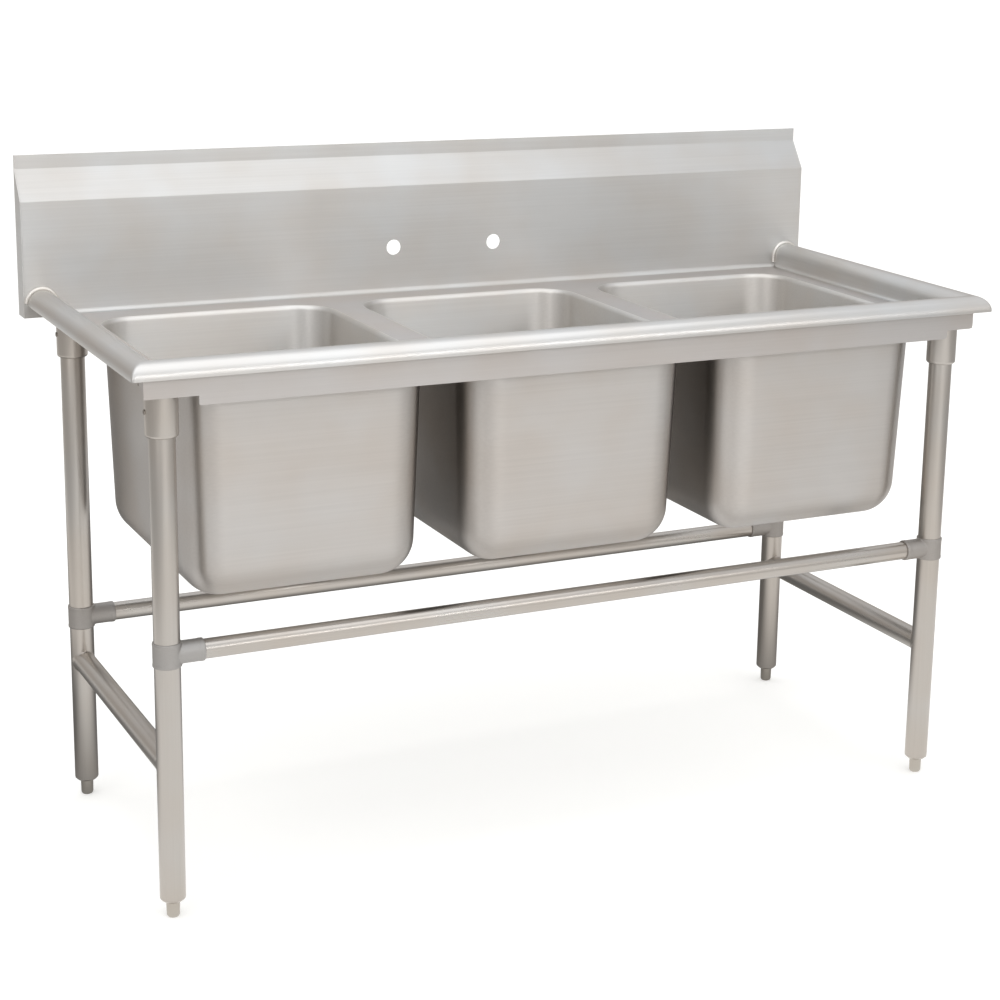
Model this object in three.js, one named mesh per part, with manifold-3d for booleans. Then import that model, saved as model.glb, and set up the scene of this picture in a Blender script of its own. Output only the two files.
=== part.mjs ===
// Three compartment sink in stainless steel: a raised rolled rim round three deep-drawn bowls,
// a tall backsplash, and four socketed legs tied by two rails and two welded end braces.
// Millimetres. +X runs along the sink, -Y is the front, +Z is up, the feet stand on z = 0.
import * as THREE from "three";
import { mergeVertices } from "three/addons/utils/BufferGeometryUtils.js";
import Module from "manifold-3d";

const wasm = await Module();
wasm.setup();

const GAP = 0.3; // clearance between neighbouring pieces
const SHEET = 2; // 14 gauge sheet
const TUBE_WALL = 1.5;

const LENGTH = 1574.8; // over the backsplash
const DEPTH = 685.8; // front of the roll to the wall
const HALF_LENGTH = LENGTH / 2;
const FRONT = -DEPTH / 2;
const WALL = DEPTH / 2;

const DECK_TOP = 870;
const COVE = 8; // inside radius where the deck turns up

// Rolled rim: an upright, then a half round that overhangs outwards.
const ROLL_R = 25;
const RIM_TOP = 914.4;
const SPRING = RIM_TOP - ROLL_R; // height where the half round starts and ends
const ROLL_LIP = 1.5;
const RIM_HALF = 781; // half the length over the side rolls
const RIM_INNER_X = RIM_HALF - 2 * ROLL_R;
const RIM_INNER_Y = FRONT + 2 * ROLL_R;

// Backsplash: upright face, slope back to the wall, short upright top.
const SPLASH_TOP = 1143;
const SPLASH_FACE = WALL - 38.1;
const SLOPE_TOP = 1119;
const SLOPE_FOOT = 1067;
const SPLASH_FOOT = 866;
const FAUCET_R = 14.3;
const FAUCET_SPREAD = 203.2;
const FAUCET_Z = 953;

const BOWL_X = 406.4; // inside, left to right
const BOWL_Y = 508; // inside, front to back
const BOWL_PITCH = 476.25;
const BOWL_CENTRE_Y = -18;
const BOWL_CORNER = 64;
const BOWL_FLOOR_R = 60;
const BOWL_UNDERSIDE = 503;
const BOWL_DRAFT = 0.048; // share by which the floor is smaller than the mouth
const FLARE = 8; // radius from the deck down into a bowl
const FLANGE = 0.5;
const DRAIN_R = 44.5;

const APRON_Y = RIM_INNER_Y - 26; // outer face of the apron
const APRON_HALF = 757;
const APRON_TOP = 900;
const APRON_SHALLOW = 855;
const APRON_DEEP = 840;
const APRON_DEEP_FROM = -672;
const APRON_DEEP_TO = 702;
const APRON_RETURN = 15;
const APRON_LEDGE_STOP = 5.3; // the top ledge ends this far short of the rim's inner face
const APRON_END_DEPTH = 24; // how far the end returns reach back
const APRON_END_UPRIGHT = 12; // upright part of their back edge

const LEG_R = 20.64;
const LEG_X = 720;
const LEG_FRONT = -280.9;
const LEG_BACK = 249;
const LEG_BOTTOM = 34;
const LEG_TOP = 852;
const SOCKET_R = 26;
const SOCKET_TOP = 864.7;
const SOCKET_MOUTH_FRONT = 788;
const SOCKET_MOUTH_BACK = 806;
const SOCKET_CAP = 3; // thickness of the closed top
const SOCKET_SCREW_UP = 40; // set screw above the socket's mouth
const SCREW_R = 4;
const HEX_R = 2.3;
const HEX_DEPTH = 3;
const SCREW_PROUD = 1.5; // how far a set screw stands out of a socket

const RAIL_R = 15.875;
const RAIL_FRONT_Z = 441;
const RAIL_BACK_Z = 337;
const TEE_R = 23;
const TEE_HEIGHT = 40;
const TEE_ARM_R = 18.5;
const TEE_ARM = 58; // arm's end from the leg's axis
const TEE_STOP = 24; // where the rail's end stops
const TEE_SCREW_PROUD = 1;
const BRACE_R = 19.05;
const BRACE_Z = 255;

const INSERT_BOTTOM = 28;
const INSERT_BEVEL = 4;
const INSERT_INSET = 0.4; // the collar is this much slimmer than the leg
const INSERT_TIP_R = 17.5;
const INSERT_TOP = 72;
const FOOT_TIP_R = 7.5;
const FOOT_TIP_TOP = 5;
const FOOT_NECK_R = 10.2;
const FOOT_BODY_FOOT = 8;
const FOOT_BODY_TOP = 25;
const FOOT_BEVEL = 1.5;
const FOOT_R = 11;
const FOOT_TOP = 70;
const STEM_R = 8;
const CUT_PAST = 5; // how far a cutting pin runs past the surface

const steel = (color, roughness) => ({ color, roughness, metalness: 1 });
const FINISH = {
  splash: steel("#c2c1be", 0.36),
  deck: steel("#c6c4c1", 0.34),
  rim: steel("#cbc9c6", 0.3),
  bowl: steel("#c9c5c0", 0.33),
  tube: steel("#aaa49d", 0.34),
  weld: steel("#b3afa9", 0.45),
  bracket: steel("#9f9b95", 0.42),
  casting: { color: "#a1a19f", roughness: 0.6, metalness: 0.9 },
  screw: steel("#86827d", 0.4),
  foot: steel("#96928c", 0.38),
};

const group = new THREE.Group();

function add(name, geometry, finish) {
  const mesh = new THREE.Mesh(geometry, new THREE.MeshStandardMaterial(FINISH[finish]));
  mesh.name = name;
  group.add(mesh);
}

// A closed geometry as a solid that can be joined and cut.
function solid(geometry) {
  const bare = geometry.clone();
  bare.deleteAttribute("normal");
  bare.deleteAttribute("uv");
  const merged = mergeVertices(bare, 1e-3);
  return new wasm.Manifold(
    new wasm.Mesh({
      numProp: 3,
      vertProperties: merged.attributes.position.array,
      triVerts: new Uint32Array(merged.index.array),
    }),
  );
}

// A solid back as a geometry with flat shading.
function shape3d(made) {
  const { vertProperties, triVerts } = made.getMesh();
  const indexed = new THREE.BufferGeometry()
    .setAttribute("position", new THREE.BufferAttribute(new Float32Array(vertProperties), 3))
    .setIndex(new THREE.BufferAttribute(new Uint32Array(triVerts), 1));
  const flat = indexed.toNonIndexed();
  flat.computeVertexNormals();
  return flat;
}

function box(x0, x1, y0, y1, z0, z1) {
  return new THREE.BoxGeometry(x1 - x0, y1 - y0, z1 - z0).translate(
    (x0 + x1) / 2,
    (y0 + y1) / 2,
    (z0 + z1) / 2,
  );
}

const polygon = (points) => new THREE.Shape(points.map(([x, y]) => new THREE.Vector2(x, y)));

function roundedRect(w, d, r, cx = 0, cy = 0) {
  const [x, y] = [w / 2 - r, d / 2 - r];
  const outline = new THREE.Shape();
  outline.moveTo(cx + x, cy - y - r);
  outline.absarc(cx + x, cy - y, r, -Math.PI / 2, 0);
  outline.absarc(cx + x, cy + y, r, 0, Math.PI / 2);
  outline.absarc(cx - x, cy + y, r, Math.PI / 2, Math.PI);
  outline.absarc(cx - x, cy - y, r, Math.PI, 1.5 * Math.PI);
  outline.closePath();
  return outline;
}

// A flat outline raised from z0 to z1.
function prism(outline, z0, z1, curveSegments = 3) {
  const settings = { depth: z1 - z0, bevelEnabled: false, curveSegments };
  return new THREE.ExtrudeGeometry(outline, settings).translate(0, 0, z0);
}

// A section drawn as (outward, up), run over a length: it starts at `from` and goes along
// outward x up.
function run(section, outward, from, length, curveSegments = 6) {
  const out = new THREE.Vector3(...outward);
  const up = new THREE.Vector3(0, 0, 1);
  const along = new THREE.Vector3().crossVectors(out, up);
  const place = new THREE.Matrix4().makeBasis(out, up, along).setPosition(...from);
  return prism(section, 0, length, curveSegments).applyMatrix4(place);
}

// A turned piece about +Z. The profile is (radius, z) and closes on itself or on the axis.
function turned(profile, segments = 24) {
  const points = profile.map(([r, z]) => new THREE.Vector2(r, z));
  return new THREE.LatheGeometry(points, segments).rotateX(Math.PI / 2);
}

function pin(r, z0, z1, segments = 24) {
  return turned([[0, z0], [r, z0], [r, z1], [0, z1]], segments);
}

function pipe(r, wall, z0, z1, segments = 24) {
  const inner = r - wall;
  return turned([[inner, z0], [r, z0], [r, z1], [inner, z1], [inner, z0]], segments);
}

const alongX = (geometry) => geometry.rotateY(Math.PI / 2);
const alongY = (geometry) => geometry.rotateX(-Math.PI / 2);

// ---- Deck, rims and backsplash ----

const bowlCentres = { left: -BOWL_PITCH, middle: 0, right: BOWL_PITCH };
const mouth = (grow, cx) =>
  roundedRect(BOWL_X + 2 * grow, BOWL_Y + 2 * grow, BOWL_CORNER + grow, cx, BOWL_CENTRE_Y);

const deckInset = COVE + GAP;
const deckX = RIM_INNER_X - deckInset;
const deckPlan = polygon([
  [-deckX, RIM_INNER_Y + deckInset],
  [deckX, RIM_INNER_Y + deckInset],
  [deckX, SPLASH_FACE - deckInset],
  [-deckX, SPLASH_FACE - deckInset],
]);
for (const cx of Object.values(bowlCentres)) deckPlan.holes.push(mouth(FLARE + FLANGE + GAP, cx));
add("deck_panel", prism(deckPlan, DECK_TOP - SHEET, DECK_TOP), "deck");

// Section of the rim: cove, upright, half round and a short lip, all of one thickness.
function rimSection() {
  const s = new THREE.Shape();
  s.moveTo(-COVE, DECK_TOP - SHEET);
  s.absarc(-COVE, DECK_TOP + COVE, COVE + SHEET, -Math.PI / 2, 0);
  s.lineTo(SHEET, SPRING);
  s.absarc(ROLL_R, SPRING, ROLL_R - SHEET, Math.PI, 0, true);
  s.lineTo(2 * ROLL_R - SHEET, SPRING - ROLL_LIP);
  s.lineTo(2 * ROLL_R, SPRING - ROLL_LIP);
  s.lineTo(2 * ROLL_R, SPRING);
  s.absarc(ROLL_R, SPRING, ROLL_R, 0, Math.PI);
  s.lineTo(0, DECK_TOP + COVE);
  s.absarc(-COVE, DECK_TOP + COVE, COVE, 0, -Math.PI / 2, true);
  s.closePath();
  return s;
}

const rimEnd = SPLASH_FACE - GAP;
const MITRE_REACH = 70;
const MITRE_OVER = 10;
const rimZ = [DECK_TOP - 2 * SHEET, RIM_TOP + SHEET];
const frontMitre = polygon([
  [-RIM_HALF - MITRE_OVER + GAP, FRONT - MITRE_OVER],
  [RIM_HALF + MITRE_OVER - GAP, FRONT - MITRE_OVER],
  [RIM_HALF - MITRE_REACH - GAP, FRONT + MITRE_REACH],
  [-RIM_HALF + MITRE_REACH + GAP, FRONT + MITRE_REACH],
]);
const frontRun = run(rimSection(), [0, -1, 0], [RIM_HALF, RIM_INNER_Y, 0], 2 * RIM_HALF);
add("rim_front", shape3d(solid(frontRun).intersect(solid(prism(frontMitre, ...rimZ)))), "rim");

for (const [side, sign] of [["left", -1], ["right", 1]]) {
  const mitre = polygon([
    [sign * (RIM_HALF + MITRE_OVER), FRONT - MITRE_OVER],
    [sign * (RIM_HALF - MITRE_REACH), FRONT + MITRE_REACH],
    [sign * (RIM_HALF - MITRE_REACH), WALL],
    [sign * (RIM_HALF + MITRE_OVER), WALL],
  ]);
  const start = sign < 0 ? FRONT : rimEnd;
  const piece = run(rimSection(), [sign, 0, 0], [sign * RIM_INNER_X, start, 0], rimEnd - FRONT);
  add(`rim_${side}`, shape3d(solid(piece).intersect(solid(prism(mitre, ...rimZ)))), "rim");
}

// Backsplash sheet, drawn as (towards the front, up) from the wall.
const face = WALL - SPLASH_FACE;
const slopeBack = SHEET / Math.cos(Math.atan2(face - SHEET, SLOPE_TOP - SLOPE_FOOT));
const splashSheet = polygon([
  [0, SPLASH_TOP],
  [0, SLOPE_TOP],
  [face - slopeBack, SLOPE_FOOT],
  [face - SHEET, SPLASH_FOOT],
  [face, SPLASH_FOOT],
  [face, SLOPE_FOOT],
  [SHEET, SLOPE_TOP],
  [SHEET, SPLASH_TOP],
]);
const panelHalf = HALF_LENGTH - SHEET - GAP;
let splash = solid(run(splashSheet, [0, -1, 0], [panelHalf, WALL, 0], 2 * panelHalf));

// The cove at its foot turns forward into the deck between the side rims.
const cove = new THREE.Shape();
cove.moveTo(face - SHEET / 2, DECK_TOP - SHEET);
cove.lineTo(face + COVE, DECK_TOP - SHEET);
cove.lineTo(face + COVE, DECK_TOP);
cove.absarc(face + COVE, DECK_TOP + COVE, COVE, -Math.PI / 2, -Math.PI, true);
cove.lineTo(face - SHEET / 2, DECK_TOP + COVE);
cove.closePath();
splash = splash.add(solid(run(cove, [0, -1, 0], [deckX, WALL, 0], 2 * deckX)));
for (const sign of [-1, 1]) {
  const hole = alongY(pin(FAUCET_R, 0, DEPTH)).translate((sign * FAUCET_SPREAD) / 2, 0, FAUCET_Z);
  splash = splash.subtract(solid(hole));
}
add("backsplash", shape3d(splash), "splash");

const capOutline = polygon([
  [0, SPLASH_FOOT],
  [face, SPLASH_FOOT],
  [face, SLOPE_FOOT],
  [SHEET, SLOPE_TOP],
  [SHEET, SPLASH_TOP],
  [0, SPLASH_TOP],
]);
const leftCap = -HALF_LENGTH + SHEET;
add("backsplash_cap_left", run(capOutline, [0, -1, 0], [leftCap, WALL, 0], SHEET), "splash");
add("backsplash_cap_right", run(capOutline, [0, -1, 0], [HALF_LENGTH, WALL, 0], SHEET), "splash");

// A fillet weld follows each side rim where it meets the backsplash.
const BEAD_R = 1.6;
const beadOut = BEAD_R + GAP;
const BEAD_STEPS = 12;
for (const [side, sign] of [["left", -1], ["right", 1]]) {
  const at = (u, z) =>
    new THREE.Vector3(sign * (RIM_INNER_X + u), SPLASH_FACE - beadOut, z);
  const points = [at(-beadOut, DECK_TOP + COVE + 2 * BEAD_R)];
  for (let i = 0; i <= BEAD_STEPS; i++) {
    const angle = Math.PI * (1 - i / BEAD_STEPS);
    const r = ROLL_R + beadOut;
    points.push(at(ROLL_R + r * Math.cos(angle), SPRING + r * Math.sin(angle)));
  }
  const bead = new THREE.Shape().absarc(0, 0, BEAD_R, 0, 2 * Math.PI);
  const path = new THREE.CatmullRomCurve3(points);
  const settings = { steps: 2 * BEAD_STEPS, curveSegments: 3, extrudePath: path };
  add(`rim_weld_${side}`, new THREE.ExtrudeGeometry(bead, settings), "weld");
}

// ---- Bowls ----

// A rounded block with its lower edges turned in by r.
function tub(grow, r, bottom) {
  const settings = {
    depth: DECK_TOP - bottom,
    bevelThickness: r,
    bevelSize: r,
    bevelOffset: -r,
    bevelSegments: 5,
    curveSegments: 3,
  };
  return new THREE.ExtrudeGeometry(mouth(grow, 0), settings).translate(0, 0, bottom + r);
}

// A plate whose hole is rounded over by r at the plate's top.
function overturned(grow, r, top) {
  const SPARE = 60;
  const plate = mouth(SPARE, 0);
  plate.holes.push(mouth(grow + r, 0));
  const settings = {
    depth: 2 * FLARE,
    bevelThickness: r,
    bevelSize: r,
    bevelSegments: 3,
    curveSegments: 3,
  };
  return new THREE.ExtrudeGeometry(plate, settings).translate(0, 0, top - r - 2 * FLARE);
}

const flareFoot = DECK_TOP - FLARE;
const OVERLAP = 0.5;
const below = box(-BOWL_X, BOWL_X, -BOWL_Y, BOWL_Y, 0, flareFoot + OVERLAP);
const shell = solid(tub(SHEET, BOWL_FLOOR_R, BOWL_UNDERSIDE))
  .subtract(solid(tub(0, BOWL_FLOOR_R - SHEET, BOWL_UNDERSIDE + SHEET)))
  .intersect(solid(below));
const flare = solid(overturned(0, FLARE, DECK_TOP))
  .intersect(solid(prism(mouth(FLARE + FLANGE, 0), flareFoot, DECK_TOP)))
  .subtract(solid(overturned(SHEET, FLARE - SHEET, DECK_TOP - SHEET)));
const drain = pin(DRAIN_R, 0, BOWL_UNDERSIDE + BOWL_FLOOR_R).translate(0, BOWL_CENTRE_Y, 0);
const bowl = shape3d(shell.add(flare).subtract(solid(drain)));

// Draft: the section shrinks evenly from the flare down to the floor.
const corner = bowl.attributes.position;
for (let i = 0; i < corner.count; i++) {
  const down = Math.max(0, (flareFoot - corner.getZ(i)) / (flareFoot - BOWL_UNDERSIDE));
  const k = 1 - BOWL_DRAFT * down;
  corner.setXY(i, corner.getX(i) * k, BOWL_CENTRE_Y + (corner.getY(i) - BOWL_CENTRE_Y) * k);
}
bowl.computeVertexNormals();
for (const [place, cx] of Object.entries(bowlCentres))
  add(`bowl_${place}`, bowl.clone().translate(cx, 0, 0), "bowl");

// ---- Apron under the front roll ----

const apronOutline = polygon([
  [-APRON_HALF, APRON_SHALLOW],
  [APRON_DEEP_FROM, APRON_SHALLOW],
  [APRON_DEEP_FROM, APRON_DEEP],
  [APRON_DEEP_TO, APRON_DEEP],
  [APRON_DEEP_TO, APRON_SHALLOW],
  [APRON_HALF, APRON_SHALLOW],
  [APRON_HALF, APRON_TOP],
  [-APRON_HALF, APRON_TOP],
]);
const apronBack = APRON_Y + SHEET;
const plate = prism(apronOutline, 0, SHEET).rotateX(Math.PI / 2).translate(0, apronBack, 0);
const ledge = (x0, x1, y1, z) => solid(box(x0, x1, APRON_Y + SHEET / 2, y1, z, z + SHEET));
let apron = solid(plate)
  .add(ledge(-APRON_HALF, APRON_HALF, RIM_INNER_Y - APRON_LEDGE_STOP, APRON_TOP - SHEET))
  .add(ledge(APRON_DEEP_FROM, APRON_DEEP_TO, apronBack + APRON_RETURN, APRON_DEEP));
const returnOutline = polygon([
  [-SHEET, APRON_SHALLOW],
  [-SHEET - APRON_END_DEPTH, APRON_TOP - 2 * APRON_END_UPRIGHT],
  [-SHEET - APRON_END_DEPTH, APRON_TOP - APRON_END_UPRIGHT],
  [-SHEET / 2, APRON_TOP],
]);
for (const x of [-APRON_HALF + SHEET, APRON_HALF])
  apron = apron.add(solid(run(returnOutline, [0, -1, 0], [x, APRON_Y, 0], SHEET)));
add("apron_front", shape3d(apron), "rim");

// ---- Leg sockets, legs, feet ----

const GUSSET_TOP = DECK_TOP - SHEET - GAP;
const GUSSET_REACH = 34;
const GUSSET_CLIP = 14;
const GUSSET_CLEAR = 3; // from the bowl's flange
const BEVEL = 4;
const corners = [
  ["front_left", -1, LEG_FRONT, SOCKET_MOUTH_FRONT],
  ["front_right", 1, LEG_FRONT, SOCKET_MOUTH_FRONT],
  ["back_left", -1, LEG_BACK, SOCKET_MOUTH_BACK],
  ["back_right", 1, LEG_BACK, SOCKET_MOUTH_BACK],
];

function screw(inner, outer) {
  const hex = pin(HEX_R, outer - HEX_DEPTH, outer + CUT_PAST, 6);
  return shape3d(solid(pin(SCREW_R, inner, outer, 16)).subtract(solid(hex)));
}

for (const [name, sign, y, mouthZ] of corners) {
  const x = sign * LEG_X;
  const halfWidth = LEG_X - (BOWL_PITCH + BOWL_X / 2 + FLARE + GUSSET_CLEAR);
  const bracket = polygon([
    [-halfWidth, -GUSSET_REACH],
    [halfWidth - GUSSET_CLIP, -GUSSET_REACH],
    [halfWidth, -GUSSET_REACH + GUSSET_CLIP],
    [halfWidth, GUSSET_REACH - GUSSET_CLIP],
    [halfWidth - GUSSET_CLIP, GUSSET_REACH],
    [-halfWidth, GUSSET_REACH],
  ]);
  const bracketAt = prism(bracket, SOCKET_TOP + GAP, GUSSET_TOP);
  if (sign < 0) bracketAt.rotateZ(Math.PI);
  add(`gusset_${name}`, bracketAt.translate(x, y, 0), "bracket");

  // Socket: a cup open below, with a bevelled mouth and a tapped hole for its set screw.
  const bore = LEG_R + GAP;
  const cup = turned([
    [bore, mouthZ],
    [SOCKET_R - BEVEL / 2, mouthZ],
    [SOCKET_R, mouthZ + BEVEL],
    [SOCKET_R, SOCKET_TOP],
    [0, SOCKET_TOP],
    [0, SOCKET_TOP - SOCKET_CAP],
    [bore, SOCKET_TOP - SOCKET_CAP],
    [bore, mouthZ],
  ]);
  const screwZ = mouthZ + SOCKET_SCREW_UP;
  const outwards = (geometry) => alongX(geometry).rotateZ(sign < 0 ? Math.PI : 0);
  const tapped = outwards(pin(SCREW_R + GAP, 0, SOCKET_R + CUT_PAST, 16)).translate(0, 0, screwZ);
  const socket = shape3d(solid(cup).subtract(solid(tapped)));
  add(`socket_${name}`, socket.translate(x, y, 0), "tube");
  const setScrew = outwards(screw(LEG_R + GAP, SOCKET_R + SCREW_PROUD));
  add(`socket_screw_${name}`, setScrew.translate(x, y, screwZ), "screw");

  add(`leg_${name}`, pipe(LEG_R, TUBE_WALL, LEG_BOTTOM, LEG_TOP).translate(x, y, 0), "tube");

  // Insert: bevelled collar below the leg, plug inside it, threaded bore for the foot.
  const plug = LEG_R - TUBE_WALL - GAP;
  const collarTop = LEG_BOTTOM - GAP;
  const insert = turned([
    [STEM_R + GAP, INSERT_BOTTOM],
    [INSERT_TIP_R, INSERT_BOTTOM],
    [LEG_R - INSERT_INSET, INSERT_BOTTOM + INSERT_BEVEL],
    [LEG_R - INSERT_INSET, collarTop],
    [plug, collarTop],
    [plug, INSERT_TOP],
    [STEM_R + GAP, INSERT_TOP],
    [STEM_R + GAP, INSERT_BOTTOM],
  ]);
  add(`foot_insert_${name}`, insert.translate(x, y, 0), "tube");

  // Foot: bullet body below, threaded stem inside the insert.
  const foot = turned(
    [
      [0, 0],
      [FOOT_TIP_R, 0],
      [FOOT_NECK_R, FOOT_TIP_TOP],
      [FOOT_R, FOOT_BODY_FOOT],
      [FOOT_R, FOOT_BODY_TOP],
      [FOOT_R - FOOT_BEVEL, INSERT_BOTTOM - GAP],
      [STEM_R, INSERT_BOTTOM - GAP],
      [STEM_R, FOOT_TOP],
      [0, FOOT_TOP],
    ],
    20,
  );
  add(`foot_${name}`, foot.translate(x, y, 0), "foot");
}

// ---- Rails in cast tees, welded end braces ----

const TEE_EDGE = 2;
for (const [row, y, z] of [
  ["front", LEG_FRONT, RAIL_FRONT_Z],
  ["back", LEG_BACK, RAIL_BACK_Z],
]) {
  for (const [side, sign] of [["left", -1], ["right", 1]]) {
    const half = TEE_HEIGHT / 2;
    const sleeve = turned([
      [0, -half],
      [TEE_R - TEE_EDGE, -half],
      [TEE_R, -half + TEE_EDGE],
      [TEE_R, half - TEE_EDGE],
      [TEE_R - TEE_EDGE, half],
      [0, half],
    ]);
    const arm = turned([
      [0, 0],
      [TEE_ARM_R, 0],
      [TEE_ARM_R, TEE_ARM - TEE_EDGE],
      [TEE_ARM_R - TEE_EDGE / 2, TEE_ARM],
      [0, TEE_ARM],
    ]);
    const inwards = (geometry) => alongX(geometry).rotateZ(sign > 0 ? Math.PI : 0);
    const screwHole = alongY(pin(SCREW_R + GAP, 0, TEE_R + CUT_PAST, 16));
    const tee = solid(sleeve)
      .add(solid(inwards(arm)))
      .subtract(solid(pin(LEG_R + GAP, -TEE_HEIGHT, TEE_HEIGHT)))
      .subtract(solid(inwards(pin(RAIL_R + GAP, TEE_STOP, TEE_ARM + CUT_PAST))))
      .subtract(solid(screwHole));
    const x = sign * LEG_X;
    add(`tee_${row}_${side}`, shape3d(tee).translate(x, y, z), "casting");
    const teeScrew = alongY(screw(LEG_R + GAP, TEE_R + TEE_SCREW_PROUD));
    add(`tee_screw_${row}_${side}`, teeScrew.translate(x, y, z), "screw");
  }
  const reach = LEG_X - TEE_STOP - GAP;
  const rail = alongX(pipe(RAIL_R, TUBE_WALL, -reach, reach)).translate(0, y, z);
  add(`rail_${row}`, rail, "tube");
}

// Each brace is coped round the two legs it is welded to.
for (const [side, sign] of [["left", -1], ["right", 1]]) {
  const x = sign * LEG_X;
  let brace = solid(alongY(pipe(BRACE_R, TUBE_WALL, LEG_FRONT, LEG_BACK)).translate(x, 0, BRACE_Z));
  for (const y of [LEG_FRONT, LEG_BACK]) {
    const cope = pin(LEG_R + GAP, BRACE_Z - 2 * BRACE_R, BRACE_Z + 2 * BRACE_R);
    brace = brace.subtract(solid(cope.translate(x, y, 0)));
  }
  add(`brace_${side}`, shape3d(brace), "tube");
}

export default group;
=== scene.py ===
"""Stainless three compartment sink: the finished surfaces round its fixed frame.

Laid out as an add-on and run as a script. Every place comes from the frame's boxes, in metres.
"""

import math

import bmesh
import bpy
from bpy.props import FloatProperty, FloatVectorProperty, PointerProperty
from mathutils import Euler, Matrix, Vector


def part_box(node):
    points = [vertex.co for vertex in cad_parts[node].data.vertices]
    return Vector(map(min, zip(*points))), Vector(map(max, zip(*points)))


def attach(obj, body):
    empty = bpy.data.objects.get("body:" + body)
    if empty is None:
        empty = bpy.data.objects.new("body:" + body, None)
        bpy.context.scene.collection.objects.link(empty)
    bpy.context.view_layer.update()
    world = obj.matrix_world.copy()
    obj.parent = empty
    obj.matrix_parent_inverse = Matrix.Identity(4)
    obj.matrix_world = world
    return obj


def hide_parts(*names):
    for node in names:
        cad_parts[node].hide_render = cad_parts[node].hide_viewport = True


bl_info = {
    "name": "Three compartment sink",
    "version": (1, 0, 0),
    "blender": (4, 5, 0),
    "location": "View3D > Sidebar > Sink",
    "description": "Makes the sheet, bowls, tubes and fittings of a stainless three compartment sink",
    "category": "Object",
}

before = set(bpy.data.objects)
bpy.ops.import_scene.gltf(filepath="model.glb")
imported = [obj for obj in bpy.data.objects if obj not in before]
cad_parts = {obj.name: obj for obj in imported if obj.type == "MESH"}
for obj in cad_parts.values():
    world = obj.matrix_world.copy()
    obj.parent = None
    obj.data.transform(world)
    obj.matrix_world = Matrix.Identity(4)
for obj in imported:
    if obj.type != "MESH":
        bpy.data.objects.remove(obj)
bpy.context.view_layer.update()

CORNERS = ("front_left", "front_right", "back_left", "back_right")
BOWLS = ("left", "middle", "right")

# ---- Sizes read from the frame ----


def low(node):
    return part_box(node)[0]


def high(node):
    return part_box(node)[1]


def middle(node):
    return (low(node) + high(node)) / 2


DECK_TOP = high("deck_panel").z
SHEET = DECK_TOP - low("deck_panel").z
WALL = high("backsplash").y
SPLASH_TOP = high("backsplash").z
SPLASH_FOOT = low("backsplash").z
SEAM = 0.0003  # width of the gap between neighbouring pieces
SPLASH_FACE = high("rim_left").y + SEAM
RIM_TOP = high("rim_front").z
FRONT = low("rim_front").y
RIM_HALF = high("rim_right").x
TUBE_WALL = 0.0015


# ---- Settings a user may change ----


def linear(code):
    """The linear colour of an sRGB hex code."""
    parts = [int(code[i : i + 2], 16) / 255 for i in (1, 3, 5)]
    return tuple(c / 12.92 if c <= 0.04045 else ((c + 0.055) / 1.055) ** 2.4 for c in parts)


def length(label, about, value):
    return FloatProperty(name=label, description=about, default=value, min=0, unit="LENGTH")


def position(label, about, value):
    return FloatProperty(name=label, description=about, default=value, unit="LENGTH")


def colour(label, about, code):
    return FloatVectorProperty(
        name=label, description=about, subtype="COLOR", default=linear(code), min=0, max=1
    )


class SinkSheet(bpy.types.PropertyGroup):
    """Bends and corners of the sheet metal."""

    cove: length("Cove", "Inside radius where the deck turns up", 0.008)
    roll_lip: length("Roll lip", "Straight lip below the half round of the rim", 0.0015)
    mitre: length("Mitre rounding", "Radius that softens the rim's polished corners", 0.005)
    bend: length("Bend", "Radius of the backsplash bends", 0.004)
    slope_foot: length("Slope foot", "Height where the backsplash starts to slope", 1.067)
    slope_top: length("Slope top", "Height where the slope reaches the wall", 1.119)
    faucet_hole: length("Faucet hole", "Radius of each faucet hole", 0.0143)
    faucet_spread: length("Faucet spread", "Distance between the faucet holes", 0.2032)
    faucet_height: length("Faucet height", "Height of the faucet holes", 0.953)
    bead: length("Weld bead", "Radius of the fillet weld round each rim end", 0.0036)
    apron_shallow: length("Apron ends", "Height of the apron's lower edge at its ends", 0.855)
    apron_from: position("Deep part from", "Where the apron's deep part starts along the sink", -0.672)
    apron_to: position("Deep part to", "Where the apron's deep part ends along the sink", 0.702)
    apron_return: length("Apron return", "Depth of the bend along the lower edge", 0.015)
    apron_end: length("Apron end", "Depth of the bend at each end", 0.024)


class SinkBowl(bpy.types.PropertyGroup):
    """Shape of one drawn bowl."""

    corner: length("Corner", "Radius of the upright corners", 0.064)
    floor_corner: length("Floor corner", "Outer radius where the walls meet the floor", 0.060)
    flare: length("Flare", "Radius from the deck down into the bowl", 0.008)
    drain: length("Drain", "Radius of the drain hole", 0.0424)
    fall: length("Fall", "How far the floor falls to the drain", 0.0015)
    draft: FloatProperty(
        name="Draft",
        description="Share by which the floor is smaller than the mouth",
        default=0.048,
        min=0,
        max=0.2,
        subtype="FACTOR",
    )


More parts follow.
